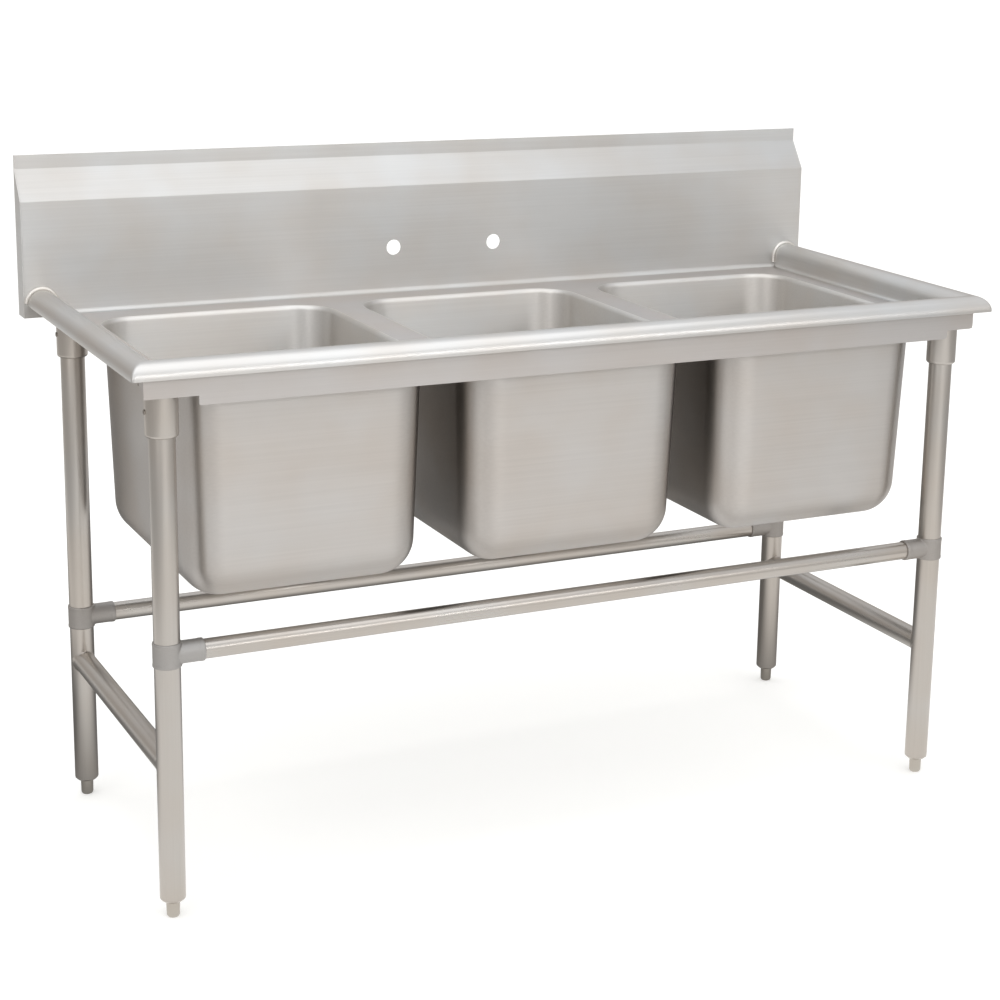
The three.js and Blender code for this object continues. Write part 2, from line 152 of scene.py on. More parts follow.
class SinkFinish(bpy.types.PropertyGroup):
    """Colours of the finishes."""

    sheet: colour("Sheet", "Satin sheet of the deck, rims and backsplash", "#d3d2d0")
    # The deck also takes this darker colour, as painted shade for its top, which faces the overhead light.
    apron: colour("Apron", "Satin sheet of the apron and the deck", "#c3bfbc")
    bowl: colour("Bowl", "Outside of the drawn and brushed bowls", "#c6c2be")
    # The bowls' inside colour is painted lighter than the outside: painted light for the light falling into
    # the bowls.
    inside: colour("Bowl inside", "Polished inside of the bowls", "#e6e4e1")
    tube: colour("Tube", "Polished tube of the legs, rails and braces", "#bfbab4")
    # The weld colour is painted brighter than the sheet: painted light on the beads.
    weld: colour("Weld", "Buffed weld beads", "#e6e3de")
    plate: colour("Plate", "Mill finish plate of the gussets", "#9f9b95")
    casting: colour("Casting", "Tumbled cast fittings", "#adaaa7")
    screw: colour("Screw", "Plain set screws", "#a09b95")
    foot: colour("Foot", "Turned feet", "#bab5ad")
    floor: colour("Floor", "Studio floor", "#ededeb")


GROUPS = {"sink_sheet": SinkSheet, "sink_bowl": SinkBowl, "sink_finish": SinkFinish}


def settings(group):
    return getattr(bpy.context.scene, group)


# ---- Finishes ----


def put(tree, kind, sockets=(), **values):
    """Adds a node: values are its settings, and sockets its inputs, as values or (node, output)."""
    made = tree.nodes.new(kind)
    for key, value in values.items():
        setattr(made, key, value)
    for key, value in dict(sockets).items():
        if isinstance(value, tuple) and isinstance(value[0], bpy.types.Node):
            tree.links.new(value[0].outputs[value[1]], made.inputs[key])
        else:
            made.inputs[key].default_value = value
    return made


ALONG_X, ALONG_Y, ALONG_Z = 0, 1, 2
MIX_FACTOR, MIX_A, MIX_B, MIX_COLOUR = 0, 6, 7, 2

# name: colour, grain direction, grain width in mm, roughness, its spread, depth in mm, anisotropy
METALS = {
    # 304 stainless sheet, satin brushed with a fine belt along its length: a soft even grey whose
    # highlights smear across the grain.
    "satin_brushed_304_sheet": ("sheet", ALONG_X, 3.2, 0.46, 0.03, 0.02, 0.8),
    # The deck between the bowls, given the apron's darker colour as painted shade: its top faces the overhead
    # light, so its colour is painted duller than the rest.
    "satin_brushed_304_deck": ("apron", ALONG_X, 3.2, 0.46, 0.03, 0.02, 0.7),
    # The apron's strip of the same sheet, brushed along its length: an even, slightly warmer satin.
    "satin_brushed_304_apron": ("apron", ALONG_X, 3.2, 0.44, 0.03, 0.01, 0.75),
    # The same sheet bent up along the sides, so that its grain runs front to back.
    "satin_brushed_304_side_sheet": ("sheet", ALONG_Y, 3.2, 0.44, 0.03, 0.02, 0.7),
    # 304 stainless rolled over and buffed: a smoother skin with a sharper bright line on the crown.
    "buffed_304_front_roll": ("sheet", ALONG_X, 3.2, 0.33, 0.006, 0.001, 0.3),
    "buffed_304_side_roll": ("sheet", ALONG_Y, 3.2, 0.34, 0.012, 0.002, 0.3),
    # 304 stainless deep drawn, then brushed round the walls: faint level lines over cloudy tone.
    "drawn_brushed_304_bowl": ("bowl", ALONG_X, 3.6, 0.44, 0.04, 0.03, 0.78),
    # The inside of the same bowl, polished after drawing and cleaner than the outside; its colour is painted
    # lighter than the outside as painted light, for the light that falls into the bowl from above.
    "polished_304_bowl_inside": ("inside", ALONG_X, 3.6, 0.46, 0.03, 0.02, 0.8),
    # Welded 304 tube, belt polished along its length: fine lines that follow the tube.
    "belt_polished_tube_upright": ("tube", ALONG_Z, 2.4, 0.31, 0.02, 0.003, 0.2),
    "belt_polished_tube_rail": ("tube", ALONG_X, 2.4, 0.28, 0.015, 0.001, 0.2),
    "belt_polished_tube_brace": ("tube", ALONG_Y, 2.4, 0.32, 0.02, 0.002, 0.3),
}


GRAIN_LENGTH = 90  # a brushed line's length, in widths


def grain_scale(direction, width_mm):
    """Noise scale per metre: short across the grain and long with it. Real belt lines are about
    0.1 mm wide, too fine to show, so width_mm is as coarse as they need to be."""
    across = 1000 / width_mm
    return tuple(across / GRAIN_LENGTH if axis == direction else across for axis in range(3))


def metal(name, base, scale, rough, spread, depth_mm, anisotropy, metallic=1.0):
    """Metal with grain or pits of the given scale per metre, cloudy wear and a fine bump."""
    made = bpy.data.materials.new(name)
    made.use_nodes = True
    tree = made.node_tree
    tree.nodes.clear()
    place = put(tree, "ShaderNodeTexCoord")
    stretched = put(tree, "ShaderNodeMapping", {"Vector": (place, "Object"), "Scale": scale})
    grain = put(
        tree, "ShaderNodeTexNoise", {"Vector": (stretched, 0), "Scale": 1.0, "Detail": 1.5, "Roughness": 0.5}
    )
    # Handling and polishing leave clouds about 150 mm across, a touch warmer or cooler.
    cloud = put(
        tree,
        "ShaderNodeTexNoise",
        {"Vector": (place, "Object"), "Scale": 6.5, "Detail": 2.0, "Roughness": 0.5},
    )
    hue = put(tree, "ShaderNodeMapRange", {"Value": (cloud, "Fac"), "From Min": 0.35, "From Max": 0.65})
    warm = (base[0] * 1.015, base[1] * 0.995, base[2] * 0.975, 1)
    cool = (base[0] * 0.985, base[1] * 1.0, base[2] * 1.015, 1)
    tint = put(tree, "ShaderNodeMix", {MIX_FACTOR: (hue, 0), MIX_A: warm, MIX_B: cool}, data_type="RGBA")
    blend = put(
        tree,
        "ShaderNodeMath",
        {0: (grain, "Fac"), 1: 0.5, 2: (cloud, "Fac")},
        operation="MULTIPLY_ADD",
    )
    share = put(
        tree,
        "ShaderNodeMapRange",
        {"Value": (blend, 0), "From Min": 0.5, "From Max": 1.0, "To Min": 0.955, "To Max": 1.03},
    )
    tone = put(
        tree,
        "ShaderNodeVectorMath",
        {0: (tint, MIX_COLOUR), "Scale": (share, 0)},
        operation="SCALE",
    )
    gloss = put(
        tree,
        "ShaderNodeMapRange",
        {
            "Value": (blend, 0),
            "From Min": 0.5,
            "From Max": 1.0,
            "To Min": rough + spread,
            "To Max": rough - spread,
        },
    )
    # Swells four times as wide as the grain: the slight unevenness that hand polishing leaves.
    swell = put(
        tree, "ShaderNodeTexNoise", {"Vector": (stretched, 0), "Scale": 0.25, "Detail": 1.0, "Roughness": 0.5}
    )
    bump = put(
        tree,
        "ShaderNodeBump",
        {"Height": (swell, "Fac"), "Strength": 1.0, "Distance": depth_mm / 1000},
    )
    sockets = {
        "Base Color": (tone, 0),
        "Metallic": metallic,
        "Roughness": (gloss, 0),
        "Normal": (bump, 0),
    }
    if anisotropy:
        across = put(tree, "ShaderNodeTangent", direction_type="UV_MAP", uv_map="grain")
        sockets |= {"Anisotropic": anisotropy, "Tangent": (across, 0)}
    surface = put(tree, "ShaderNodeBsdfPrincipled", sockets)
    put(tree, "ShaderNodeOutputMaterial", {"Surface": (surface, 0)})
    return made


def finish(name):
    """The named finish, made the first time it is asked for."""
    if name in bpy.data.materials:
        return bpy.data.materials[name]
    colours = settings("sink_finish")
    if name in METALS:
        base, direction, width, rough, spread, depth, anisotropy = METALS[name]
        scale = grain_scale(direction, width)
        return metal(name, getattr(colours, base), scale, rough, spread, depth, anisotropy)
    # TIG weld, ground and buffed, slightly rippled; its colour is painted brighter than the sheet as painted
    # light, so the bead stays bright where it faces darker surroundings.
    if name == "buffed_tig_weld":
        return metal(name, colours.weld, (420, 420, 420), 0.4, 0.05, 0.04, 0)
    # Hot rolled 304 plate, pickled: a dull fine-pitted grey.
    if name == "pickled_304_plate":
        return metal(name, colours.plate, (900, 900, 900), 0.5, 0.06, 0.02, 0)
    # Zinc aluminium die casting, tumbled smooth: matte, cool and slightly mottled.
    if name == "tumbled_die_casting":
        return metal(name, colours.casting, (700, 700, 700), 0.56, 0.05, 0.03, 0)
    # Cold headed 304 screw: small, plain and a little dark.
    if name == "cold_headed_304_screw":
        return metal(name, colours.screw, (900, 900, 900), 0.4, 0.05, 0.01, 0)
    # 304 bar turned on a lathe: faint rings round it.
    if name == "turned_304_bar":
        return metal(name, colours.foot, (60, 60, 2500), 0.34, 0.05, 0.01, 0)
    raise ValueError(f"there is no finish named {name}")


# ---- Shapes ----

MERGE = 1e-6  # points nearer than this are one


def arc(cx, cy, r, start, end, steps):
    """Points of an arc, in degrees, ends included."""
    turn = [math.radians(start + (end - start) * i / steps) for i in range(steps + 1)]
    return [(cx + r * math.cos(a), cy + r * math.sin(a)) for a in turn]


def rounded(points, radii, steps=6):
    """A closed outline with each corner rounded by its own radius."""
    made = []
    for i, here in enumerate(points):
        if radii[i] <= 0:
            made.append(tuple(here))
            continue
        p = Vector(here)
        back = (Vector(points[i - 1]) - p).normalized()
        ahead = (Vector(points[(i + 1) % len(points)]) - p).normalized()
        half = back.angle(ahead) / 2
        cut = radii[i] / math.tan(half)
        centre = p + (back + ahead).normalized() * (radii[i] / math.sin(half))
        first, last = p + back * cut - centre, p + ahead * cut - centre
        sweep = first.angle_signed(last)
        for k in range(steps + 1):
            turned = first.copy()
            turned.rotate(Matrix.Rotation(-sweep * k / steps, 2))
            made.append(tuple(centre + turned))
    return made


def rounded_rect(hx, hy, r, per_corner=16, per_side=8):
    """Points of a rounded rectangle about the origin, the same number for any radius."""
    r = max(r, 1e-5)
    made = []
    for sx, sy, start in ((1, -1, -90), (1, 1, 0), (-1, 1, 90), (-1, -1, 180)):
        made += arc(sx * (hx - r), sy * (hy - r), r, start, start + 90, per_corner)
    spread = []
    for i, (x, y) in enumerate(made):
        spread.append((x, y))
        if (i + 1) % (per_corner + 1) == 0:
            nx, ny = made[(i + 1) % len(made)]
            for k in range(1, per_side):
                spread.append((x + (nx - x) * k / per_side, y + (ny - y) * k / per_side))
    return spread


def grid(bm, rows, wrap_rows=False, wrap_points=True, tangent_along_rows=False):
    """Quads between rows of points. The grain map's U runs across the rows, or along them."""
    uv = bm.loops.layers.uv.get("grain") or bm.loops.layers.uv.new("grain")
    verts = [[bm.verts.new(p) for p in row] for row in rows]
    shortest = 1e-5
    n, m = len(rows), len(rows[0])
    along = [0.0]
    for a, b in zip(rows, [*rows[1:], rows[0]]):
        along.append(along[-1] + max(shortest, (Vector(b[0]) - Vector(a[0])).length))
    round_ = [0.0]
    for a, b in zip(rows[n // 2], [*rows[n // 2][1:], rows[n // 2][0]]):
        round_.append(round_[-1] + max(shortest, (Vector(b) - Vector(a)).length))
    for i in range(n if wrap_rows else n - 1):
        for j in range(m if wrap_points else m - 1):
            ring = [(i, j), (i, j + 1), (i + 1, j + 1), (i + 1, j)]
            face = bm.faces.new([verts[a % n][b % m] for a, b in ring])
            for loop, (a, b) in zip(face.loops, ring):
                at = (round_[b], along[a])
                loop[uv].uv = at[::-1] if tangent_along_rows else at
    return verts


def cap(bm, ring):
    """One face over a ring of vertices, with the grain map laid on it."""
    uv = bm.loops.layers.uv.get("grain")
    face = bm.faces.new(ring)
    face.normal_update()
    across = Vector((0, 0, 1)) if abs(face.normal.z) < 0.9 else Vector((0, 1, 0))
    side = face.normal.cross(across)
    for loop in face.loops:
        loop[uv].uv = (loop.vert.co.dot(across), loop.vert.co.dot(side))
    return face


def prism(bm, first, last):
    """A solid between two matching outlines."""
    rows = grid(bm, [first, last])
    cap(bm, rows[0])
    cap(bm, rows[1])


def turned(bm, profile, centre, steps=64, axis="Z"):
    """A piece turned about an axis through centre. The profile is (radius, along), closed."""
    quarter = math.pi / 2
    turn = Euler({"X": (0, quarter, 0), "Y": (-quarter, 0, 0), "Z": (0, 0, 0)}[axis]).to_matrix()
    rows = []
    for r, z in profile:
        ring = []
        for k in range(steps):
            a = 2 * math.pi * k / steps
            ring.append(turn @ Vector((r * math.cos(a), r * math.sin(a), z)) + Vector(centre))
        rows.append(ring)
    grid(bm, rows, wrap_rows=True)


def tube_profile(outer, inner, start, end, edge=0.0004):
    """Section of a tube with its sharp edges broken."""
    outline = [(inner, start), (outer, start), (outer, end), (inner, end)]
    return rounded(outline, [edge / 2, edge, edge, edge / 2], 3)


def piece(name, bm, material, nodes, body="frame", sharp=32):
    """Makes one finished piece of the mesh."""
    return dress(rough_object(name, bm), material, nodes, body, sharp)


def dress(made, material, nodes, body="frame", sharp=32):
    """Gives a piece its finish, or several, its body and the nodes that it stands for."""
    mesh = made.data
    for name in [material] if isinstance(material, str) else material:
        mesh.materials.append(finish(name))
    mesh.shade_smooth()
    mesh.set_sharp_from_angle(angle=math.radians(sharp))
    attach(made, body)
    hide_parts(*nodes)
    return made


def settled(made, name):
    """A new object with the modifiers of made worked into its mesh; made is removed."""
    bpy.context.view_layer.update()
    mesh = bpy.data.meshes.new_from_object(made.evaluated_get(bpy.context.evaluated_depsgraph_get()))
    old = made.data
    bpy.data.objects.remove(made)
    bpy.data.meshes.remove(old)
    mesh.name = name
    fresh = bpy.data.objects.new(name, mesh)
    bpy.context.scene.collection.objects.link(fresh)
    return fresh


def rough_object(name, bm):
    """An object of the mesh, with its points merged and its faces turned outwards."""
    bmesh.ops.remove_doubles(bm, verts=bm.verts, dist=MERGE)
    bmesh.ops.recalc_face_normals(bm, faces=bm.faces)
    mesh = bpy.data.meshes.new(name)
    bm.to_mesh(mesh)
    bm.free()
    made = bpy.data.objects.new(name, mesh)
    bpy.context.scene.collection.objects.link(made)
    return made


def combine(target, tool, operation):
    """Joins tool to target or cuts it away, and removes it."""
    change = target.modifiers.new(operation, "BOOLEAN")
    change.object, change.operation, change.solver = tool, operation, "EXACT"
    made = settled(target, target.name + "_")
    old = tool.data
    bpy.data.objects.remove(tool)
    bpy.data.meshes.remove(old)
    return made


# ---- Pieces ----


def bowl_mouth(name, grow=0.0):
    """Half sizes and corner radius of a bowl's mouth, and its centre."""
    sizes = settings("sink_bowl")
    flange = 0.0005
    half = (high(f"bowl_{name}") - low(f"bowl_{name}")) / 2
    spare = sizes.flare + flange - grow
    return half.x - spare, half.y - spare, sizes.corner + grow, middle(f"bowl_{name}")


class SINK_OT_deck(bpy.types.Operator):
    """Make the deck sheet with its three bowl openings"""

    bl_idname = "sink.deck"
    bl_label = "Deck"

    def execute(self, context):
        bm = bmesh.new()
        uv = bm.loops.layers.uv.new("grain")
        cove = settings("sink_sheet").cove
        x, y0, y1 = high("rim_right").x - 2 * roll_radius(), high("rim_front").y, SPLASH_FACE - cove
        x -= cove
        outlines = [[(-x, y0), (x, y0), (x, y1), (-x, y1)]]
        for name in BOWLS:
            hx, hy, r, centre = bowl_mouth(name, settings("sink_bowl").flare)
            outlines.append([(centre.x + a, centre.y + b) for a, b in rounded_rect(hx, hy, r)])
        edges = []
        for outline in outlines:
            ring = [bm.verts.new((a, b, DECK_TOP)) for a, b in outline]
            edges += [bm.edges.new((ring[i - 1], ring[i])) for i in range(len(ring))]
        bmesh.ops.triangle_fill(bm, use_beauty=True, edges=edges)
        below = bmesh.ops.extrude_face_region(bm, geom=list(bm.faces))["geom"]
        for v in below:
            if isinstance(v, bmesh.types.BMVert):
                v.co.z = DECK_TOP - SHEET
        for face in bm.faces:
            for loop in face.loops:
                loop[uv].uv = (loop.vert.co.y, loop.vert.co.x)
        piece("deck", bm, "satin_brushed_304_deck", ["deck_panel"])
        return {"FINISHED"}


def roll_radius():
    return (high("rim_front").y - FRONT - settings("sink_sheet").cove) / 2


def rim_section():
    """The rim's closed section as (outward from its inner face, up)."""
    sheet = settings("sink_sheet")
    cove, r = sheet.cove, roll_radius()
    spring = RIM_TOP - r
    lip = spring - sheet.roll_lip
    edge = SHEET / 4
    return (
        arc(-cove, DECK_TOP + cove, cove + SHEET, -90, 0, 10)
        + arc(r, spring, r - SHEET, 180, 0, 28)
        + [(2 * r - SHEET, lip + edge), (2 * r - SHEET + edge, lip), (2 * r - edge, lip), (2 * r, lip + edge)]
        + arc(r, spring, r, 0, 180, 36)
        + arc(-cove, DECK_TOP + cove, cove, 0, -90, 10)
    )


CORNER_STEPS = 10


def rim_row(side, offset):
    """The section set at a corner's mitre and moved by offset (x inwards, y back)."""
    x, y = RIM_HALF - 2 * roll_radius(), FRONT + 2 * roll_radius()
    return [(side * (x + u - offset[0]), y - u + offset[1], z) for u, z in rim_section()]


def corner_offsets(first, last):
    """Offsets round a softened mitre, from the side (0) towards the front (1)."""
    r = settings("sink_sheet").mitre
    turns = [first + (last - first) * i / CORNER_STEPS * 2 for i in range(CORNER_STEPS // 2 + 1)]
    return [(r - r * math.cos(t * math.pi / 2), r - r * math.sin(t * math.pi / 2)) for t in turns]


class SINK_OT_rims(bpy.types.Operator):
    """Make the rolled rims and the welds that join them to the backsplash"""

    bl_idname = "sink.rims"
    bl_label = "Rims"

    def execute(self, context):
        bm = bmesh.new()
        rows = [rim_row(-1, o) for o in corner_offsets(0.5, 1)]
        rows += [rim_row(1, o) for o in reversed(corner_offsets(0.5, 1))]
        grid(bm, rows)
        piece("rim_roll_front", bm, "buffed_304_front_roll", ["rim_front"])
        x = RIM_HALF - 2 * roll_radius()
        for side, name in ((-1, "left"), (1, "right")):
            bm = bmesh.new()
            back = [(side * (x + u), SPLASH_FACE - max(0.0, -u), z) for u, z in rim_section()]
            grid(bm, [back, *(rim_row(side, o) for o in corner_offsets(0, 0.5))])
            piece(f"rim_roll_{name}", bm, "buffed_304_side_roll", [f"rim_{name}"])
            self.bead(side, name)
        return {"FINISHED"}

    def bead(self, side, name):
        """A fillet weld up the upright and over the half round, against the backsplash."""
        sheet = settings("sink_sheet")
        r, bead = roll_radius(), sheet.bead
        spring = RIM_TOP - r
        foot = DECK_TOP + sheet.cove
        line = [(0, foot + (spring - foot) * i / 16) for i in range(16)] + arc(r, spring, r, 180, 4, 60)
        x = RIM_HALF - 2 * r
        rows = []
        run = 0.0
        for i, (u, z) in enumerate(line):
            before, after = line[max(0, i - 1)], line[min(len(line) - 1, i + 1)]
            ahead = Vector((after[0] - before[0], after[1] - before[1])).normalized()
            out = Vector((-ahead.y, ahead.x))
            run += math.hypot(u - before[0], z - before[1])
            swell = bead * (1 + 0.07 * math.sin(run * 2 * math.pi / 0.0032))  # 3.2 mm ripples
            if i in (0, len(line) - 1):
                swell *= 0.4
            ring = []
            for k in range(14):
                a = 2 * math.pi * k / 14
                across = swell * math.cos(a) + bead * 0.6
                y = SPLASH_FACE + swell * math.sin(a)
                ring.append((side * (x + u + out.x * across), y, z + out.y * across))
            rows.append(ring)
        bm = bmesh.new()
        verts = grid(bm, rows)
        cap(bm, verts[0])
        cap(bm, verts[-1])
        piece(f"weld_{name}", bm, "buffed_tig_weld", [f"rim_weld_{name}"], sharp=60)


def splash_outline(thin):
    """The backsplash section as (y, z): bent sheet, or the whole closed shape of an end cap."""
    sheet = settings("sink_sheet")
    bend, edge = sheet.bend, SHEET / 5
    front = [
        (SPLASH_FACE, SPLASH_FOOT),
        (SPLASH_FACE, sheet.slope_foot),
        (WALL - SHEET, sheet.slope_top),
        (WALL - SHEET, SPLASH_TOP),
    ]
    if not thin:
        outline = [*front, (WALL, SPLASH_TOP), (WALL, SPLASH_FOOT)]
        return rounded(outline, [edge, bend, bend, edge, edge, edge])
    slant = math.hypot(1, (WALL - SHEET - SPLASH_FACE) / (sheet.slope_top - sheet.slope_foot))
    back = [
        (WALL, SPLASH_TOP),
        (WALL, sheet.slope_top),
        (SPLASH_FACE + SHEET * slant, sheet.slope_foot),
        (SPLASH_FACE + SHEET, SPLASH_FOOT),
    ]
    return rounded(front + back, [edge, bend, bend, edge, edge, bend / 2, bend / 2, edge])


class SINK_OT_backsplash(bpy.types.Operator):
    """Make the backsplash sheet, its cove and its two end caps"""

    bl_idname = "sink.backsplash"
    bl_label = "Backsplash"

    def execute(self, context):
        sheet = settings("sink_sheet")
        left, right = high("backsplash_cap_left").x, low("backsplash_cap_right").x
        bm = bmesh.new()
        prism(bm, *([(x, y, z) for y, z in splash_outline(True)] for x in (left, right)))
        panel = rough_object("splash_sheet", bm)
        r, reach = sheet.faucet_hole, 0.05
        drill = [(0, -reach), (r, -reach), (r, reach), (0, reach)]
        for side in (-1, 1):
            bm = bmesh.new()
            centre = (side * sheet.faucet_spread / 2, SPLASH_FACE, sheet.faucet_height)
            turned(bm, drill, centre, 64, "Y")
            panel = combine(panel, rough_object("hole", bm), "DIFFERENCE")
        panel.name = "splash"
        dress(panel, "satin_brushed_304_sheet", ["backsplash"])

        # The cove is mitred into the coves of the side rims.
        bm = bmesh.new()
        cove = sheet.cove
        section = arc(cove, DECK_TOP + cove, cove, 180, 270, 12)
        section += [(cove, DECK_TOP - SHEET), (-SHEET / 2, DECK_TOP - SHEET), (-SHEET / 2, DECK_TOP + cove)]
        x = RIM_HALF - 2 * roll_radius()
        ends = [[(side * (x - max(0, d)), SPLASH_FACE - d, z) for d, z in section] for side in (-1, 1)]
        prism(bm, *ends)
        piece("splash_cove", bm, "satin_brushed_304_sheet", [])
        for name in ("left", "right"):
            bm = bmesh.new()
            node = f"backsplash_cap_{name}"
            prism(bm, *([(x, y, z) for y, z in splash_outline(False)] for x in (low(node).x, high(node).x)))
            made = piece(f"splash_cap_{name}", bm, "satin_brushed_304_side_sheet", [node])
            soften(made, 0.0006)
        return {"FINISHED"}


def soften(made, width):
    """Breaks the sharp edges, so that they catch the light as real ones do."""
    change = made.modifiers.new("broken_edges", "BEVEL")
    change.width, change.segments, change.limit_method = width, 3, "ANGLE"
    change.angle_limit = math.radians(50)
    change.harden_normals = True


class SINK_OT_bowls(bpy.types.Operator):
    """Make the three drawn bowls"""

    bl_idname = "sink.bowls"
    bl_label = "Bowls"

    def execute(self, context):
        for name in BOWLS:
            bm = bmesh.new()
            inner = self.rings(name, 0.0)
            outer = self.rings(name, SHEET)
            grid(bm, inner + outer[::-1], wrap_rows=True, tangent_along_rows=True)
            # The inner faces take the inside finish, whose lighter colour is painted light.
            for face in list(bm.faces)[: (len(inner) - 1) * len(inner[0])]:
                face.material_index = 1
            looks = ["drawn_brushed_304_bowl", "polished_304_bowl_inside"]
            piece(f"bowl_shell_{name}", bm, looks, [f"bowl_{name}"], sharp=50)
        return {"FINISHED"}

    def rings(self, name, out):
        """Rings from the mouth down the wall and over the floor to the drain, moved outwards."""
        sizes = settings("sink_bowl")
        hx, hy, corner, centre = bowl_mouth(name)
        bottom = low(f"bowl_{name}").z
        flare_foot = DECK_TOP - sizes.flare
        fillet = sizes.floor_corner - SHEET
        spring = bottom + sizes.floor_corner

        def ring(grow, z):
            down = max(0.0, (flare_foot - z) / (flare_foot - bottom))
            k = 1 - sizes.draft * down
            outline = rounded_rect(hx + grow, hy + grow, corner + grow)
            return [(centre.x + x * k, centre.y + y * k, z) for x, y in outline]

        rings = []
        for a in range(0, 91, 9):
            t = math.radians(a)
            r = sizes.flare - out
            rings.append(ring(sizes.flare - r * math.sin(t), flare_foot + r * math.cos(t)))
        for i in range(1, 24):
            rings.append(ring(out, flare_foot + (spring - flare_foot) * i / 24))
        for a in range(0, 91, 5):
            t = math.radians(a)
            r = fillet + out
            rings.append(ring(-fillet + r * math.cos(t), spring - r * math.sin(t)))
        edge = rings[-1]
        floor = edge[0][2]
        for i in range(1, 13):
            t = i / 12
            row = []
            for x, y, _ in edge:
                a = math.atan2(y - centre.y, x - centre.x)
                dx, dy = centre.x + sizes.drain * math.cos(a), centre.y + sizes.drain * math.sin(a)
                fall = sizes.fall * t * t * (3 - 2 * t)
                row.append((x + (dx - x) * t, y + (dy - y) * t, floor - fall))
            rings.append(row)
        return rings


class SINK_OT_apron(bpy.types.Operator):
    """Make the apron strip, bent back along its edges"""

    bl_idname = "sink.apron"
    bl_label = "Apron"

    def execute(self, context):
        sheet = settings("sink_sheet")
        node = "apron_front"
        x, face, rear = high(node).x, low(node).y, high(node).y
        top, deep, shallow = high(node).z, low(node).z, sheet.apron_shallow
        x0, x1 = sheet.apron_from, sheet.apron_to
        inner = face + SHEET / 2  # bent parts start inside the plate
        lower_edge = [(-x, shallow), (x0, shallow), (x0, deep), (x1, deep), (x1, shallow), (x, shallow)]
        corners = [0.0015, 0.001, 0.003, 0.006, 0.002, 0.007, 0.001, 0.001]
        plate = rounded([*lower_edge, (x, top), (-x, top)], corners)
        parts = [[[(a, y, b) for a, b in plate] for y in (face, face + SHEET)]]
        ledge = (-x, x, rear, top - SHEET)
        lower_return = (x0 + 0.004, x1 - 0.007, face + SHEET + sheet.apron_return, deep)
        for left, right, back, foot in (ledge, lower_return):
            section = [(inner, foot), (back, foot), (back, foot + SHEET), (inner, foot + SHEET)]
            parts.append([[(a, y, z) for y, z in section] for a in (left, right)])
        depth = sheet.apron_end
        behind = face + SHEET + depth
        end = [
            (inner, shallow + 0.002),
            (face + SHEET, shallow),
            (behind, top - depth),
            (behind, top - depth / 2),
            (inner, top),
        ]
        for side in (-1, 1):
            parts.append([[(side * a, y, z) for y, z in end] for a in (x - SHEET, x)])
        made = None
        for part in parts:
            bm = bmesh.new()
            prism(bm, *part)
            solid = rough_object("apron_part", bm)
            made = combine(made, solid, "UNION") if made else solid
        made.name = "apron_strip"
        dress(made, "satin_brushed_304_apron", [node])
        soften(made, 0.0007)
        return {"FINISHED"}


class SINK_OT_small_parts(bpy.types.Operator):
    """Finish the gussets and set screws on their frame solids"""

    bl_idname = "sink.small_parts"
    bl_label = "Gussets and screws"

    def execute(self, context):
        looks = {}
        for corner in CORNERS:
            looks[f"gusset_{corner}"] = ("pickled_304_plate", 0.0006)
            looks[f"socket_screw_{corner}"] = ("cold_headed_304_screw", 0.0003)
            looks[f"tee_screw_{corner}"] = ("cold_headed_304_screw", 0.0003)
        for node, (material, width) in looks.items():
            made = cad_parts[node]
            made.data.materials.clear()
            made.data.materials.append(finish(material))
            made.modifiers.new("joined_faces", "WELD").merge_threshold = 1e-5
            soften(made, width)
        return {"FINISHED"}


class SINK_OT_sockets(bpy.types.Operator):
    """Make the four sockets that hold the legs"""

    bl_idname = "sink.sockets"
    bl_label = "Sockets"

    def execute(self, context):
        for corner in CORNERS:
            node = f"socket_{corner}"
            bottom, top, centre = low(node).z, high(node).z, middle(node)
            r = high(node).x - centre.x
            leg = high(f"leg_{corner}").x - centre.x
            wall = 0.003
            outline = [(0, top), (r, top), (r, bottom), (leg, bottom), (leg, top - wall), (0, top - wall)]
            profile = rounded(outline, [0, 0.001, 0.0052, 0.0006, 0.001, 0], 10)
            bm = bmesh.new()
            turned(bm, profile, (centre.x, centre.y, 0), 96)
            piece(f"leg_socket_{corner}", bm, "belt_polished_tube_upright", [node], sharp=40)
        return {"FINISHED"}


class SINK_OT_legs(bpy.types.Operator):
    """Make the four legs and their foot inserts"""

    bl_idname = "sink.legs"
    bl_label = "Legs"

    def execute(self, context):
        for corner in CORNERS:
            node = f"leg_{corner}"
            centre = middle(node)
            r = high(node).x - centre.x
            bm = bmesh.new()
            profile = tube_profile(r, r - TUBE_WALL, low(node).z, high(node).z)
            turned(bm, profile, (centre.x, centre.y, 0), 96)
            piece(f"leg_post_{corner}", bm, "belt_polished_tube_upright", [node], sharp=40)

            node = f"foot_insert_{corner}"
            bore = 0.0083
            bottom, top, seat = low(node).z, high(node).z, low(f"leg_{corner}").z
            outline = [
                (bore, bottom),
                (r - 0.0045, bottom),
                (r - 0.0002, bottom + 0.0042),
                (r - 0.0002, seat),
                (r - TUBE_WALL, seat),
                (r - TUBE_WALL, top),
                (bore, top),
            ]
            profile = rounded(outline, [0.0006, 0.0012, 0.0016, 0, 0, 0.0005, 0.0005], 6)
            bm = bmesh.new()
            turned(bm, profile, (centre.x, centre.y, 0), 96)
            piece(f"leg_insert_{corner}", bm, "belt_polished_tube_upright", [node], sharp=40)
        return {"FINISHED"}


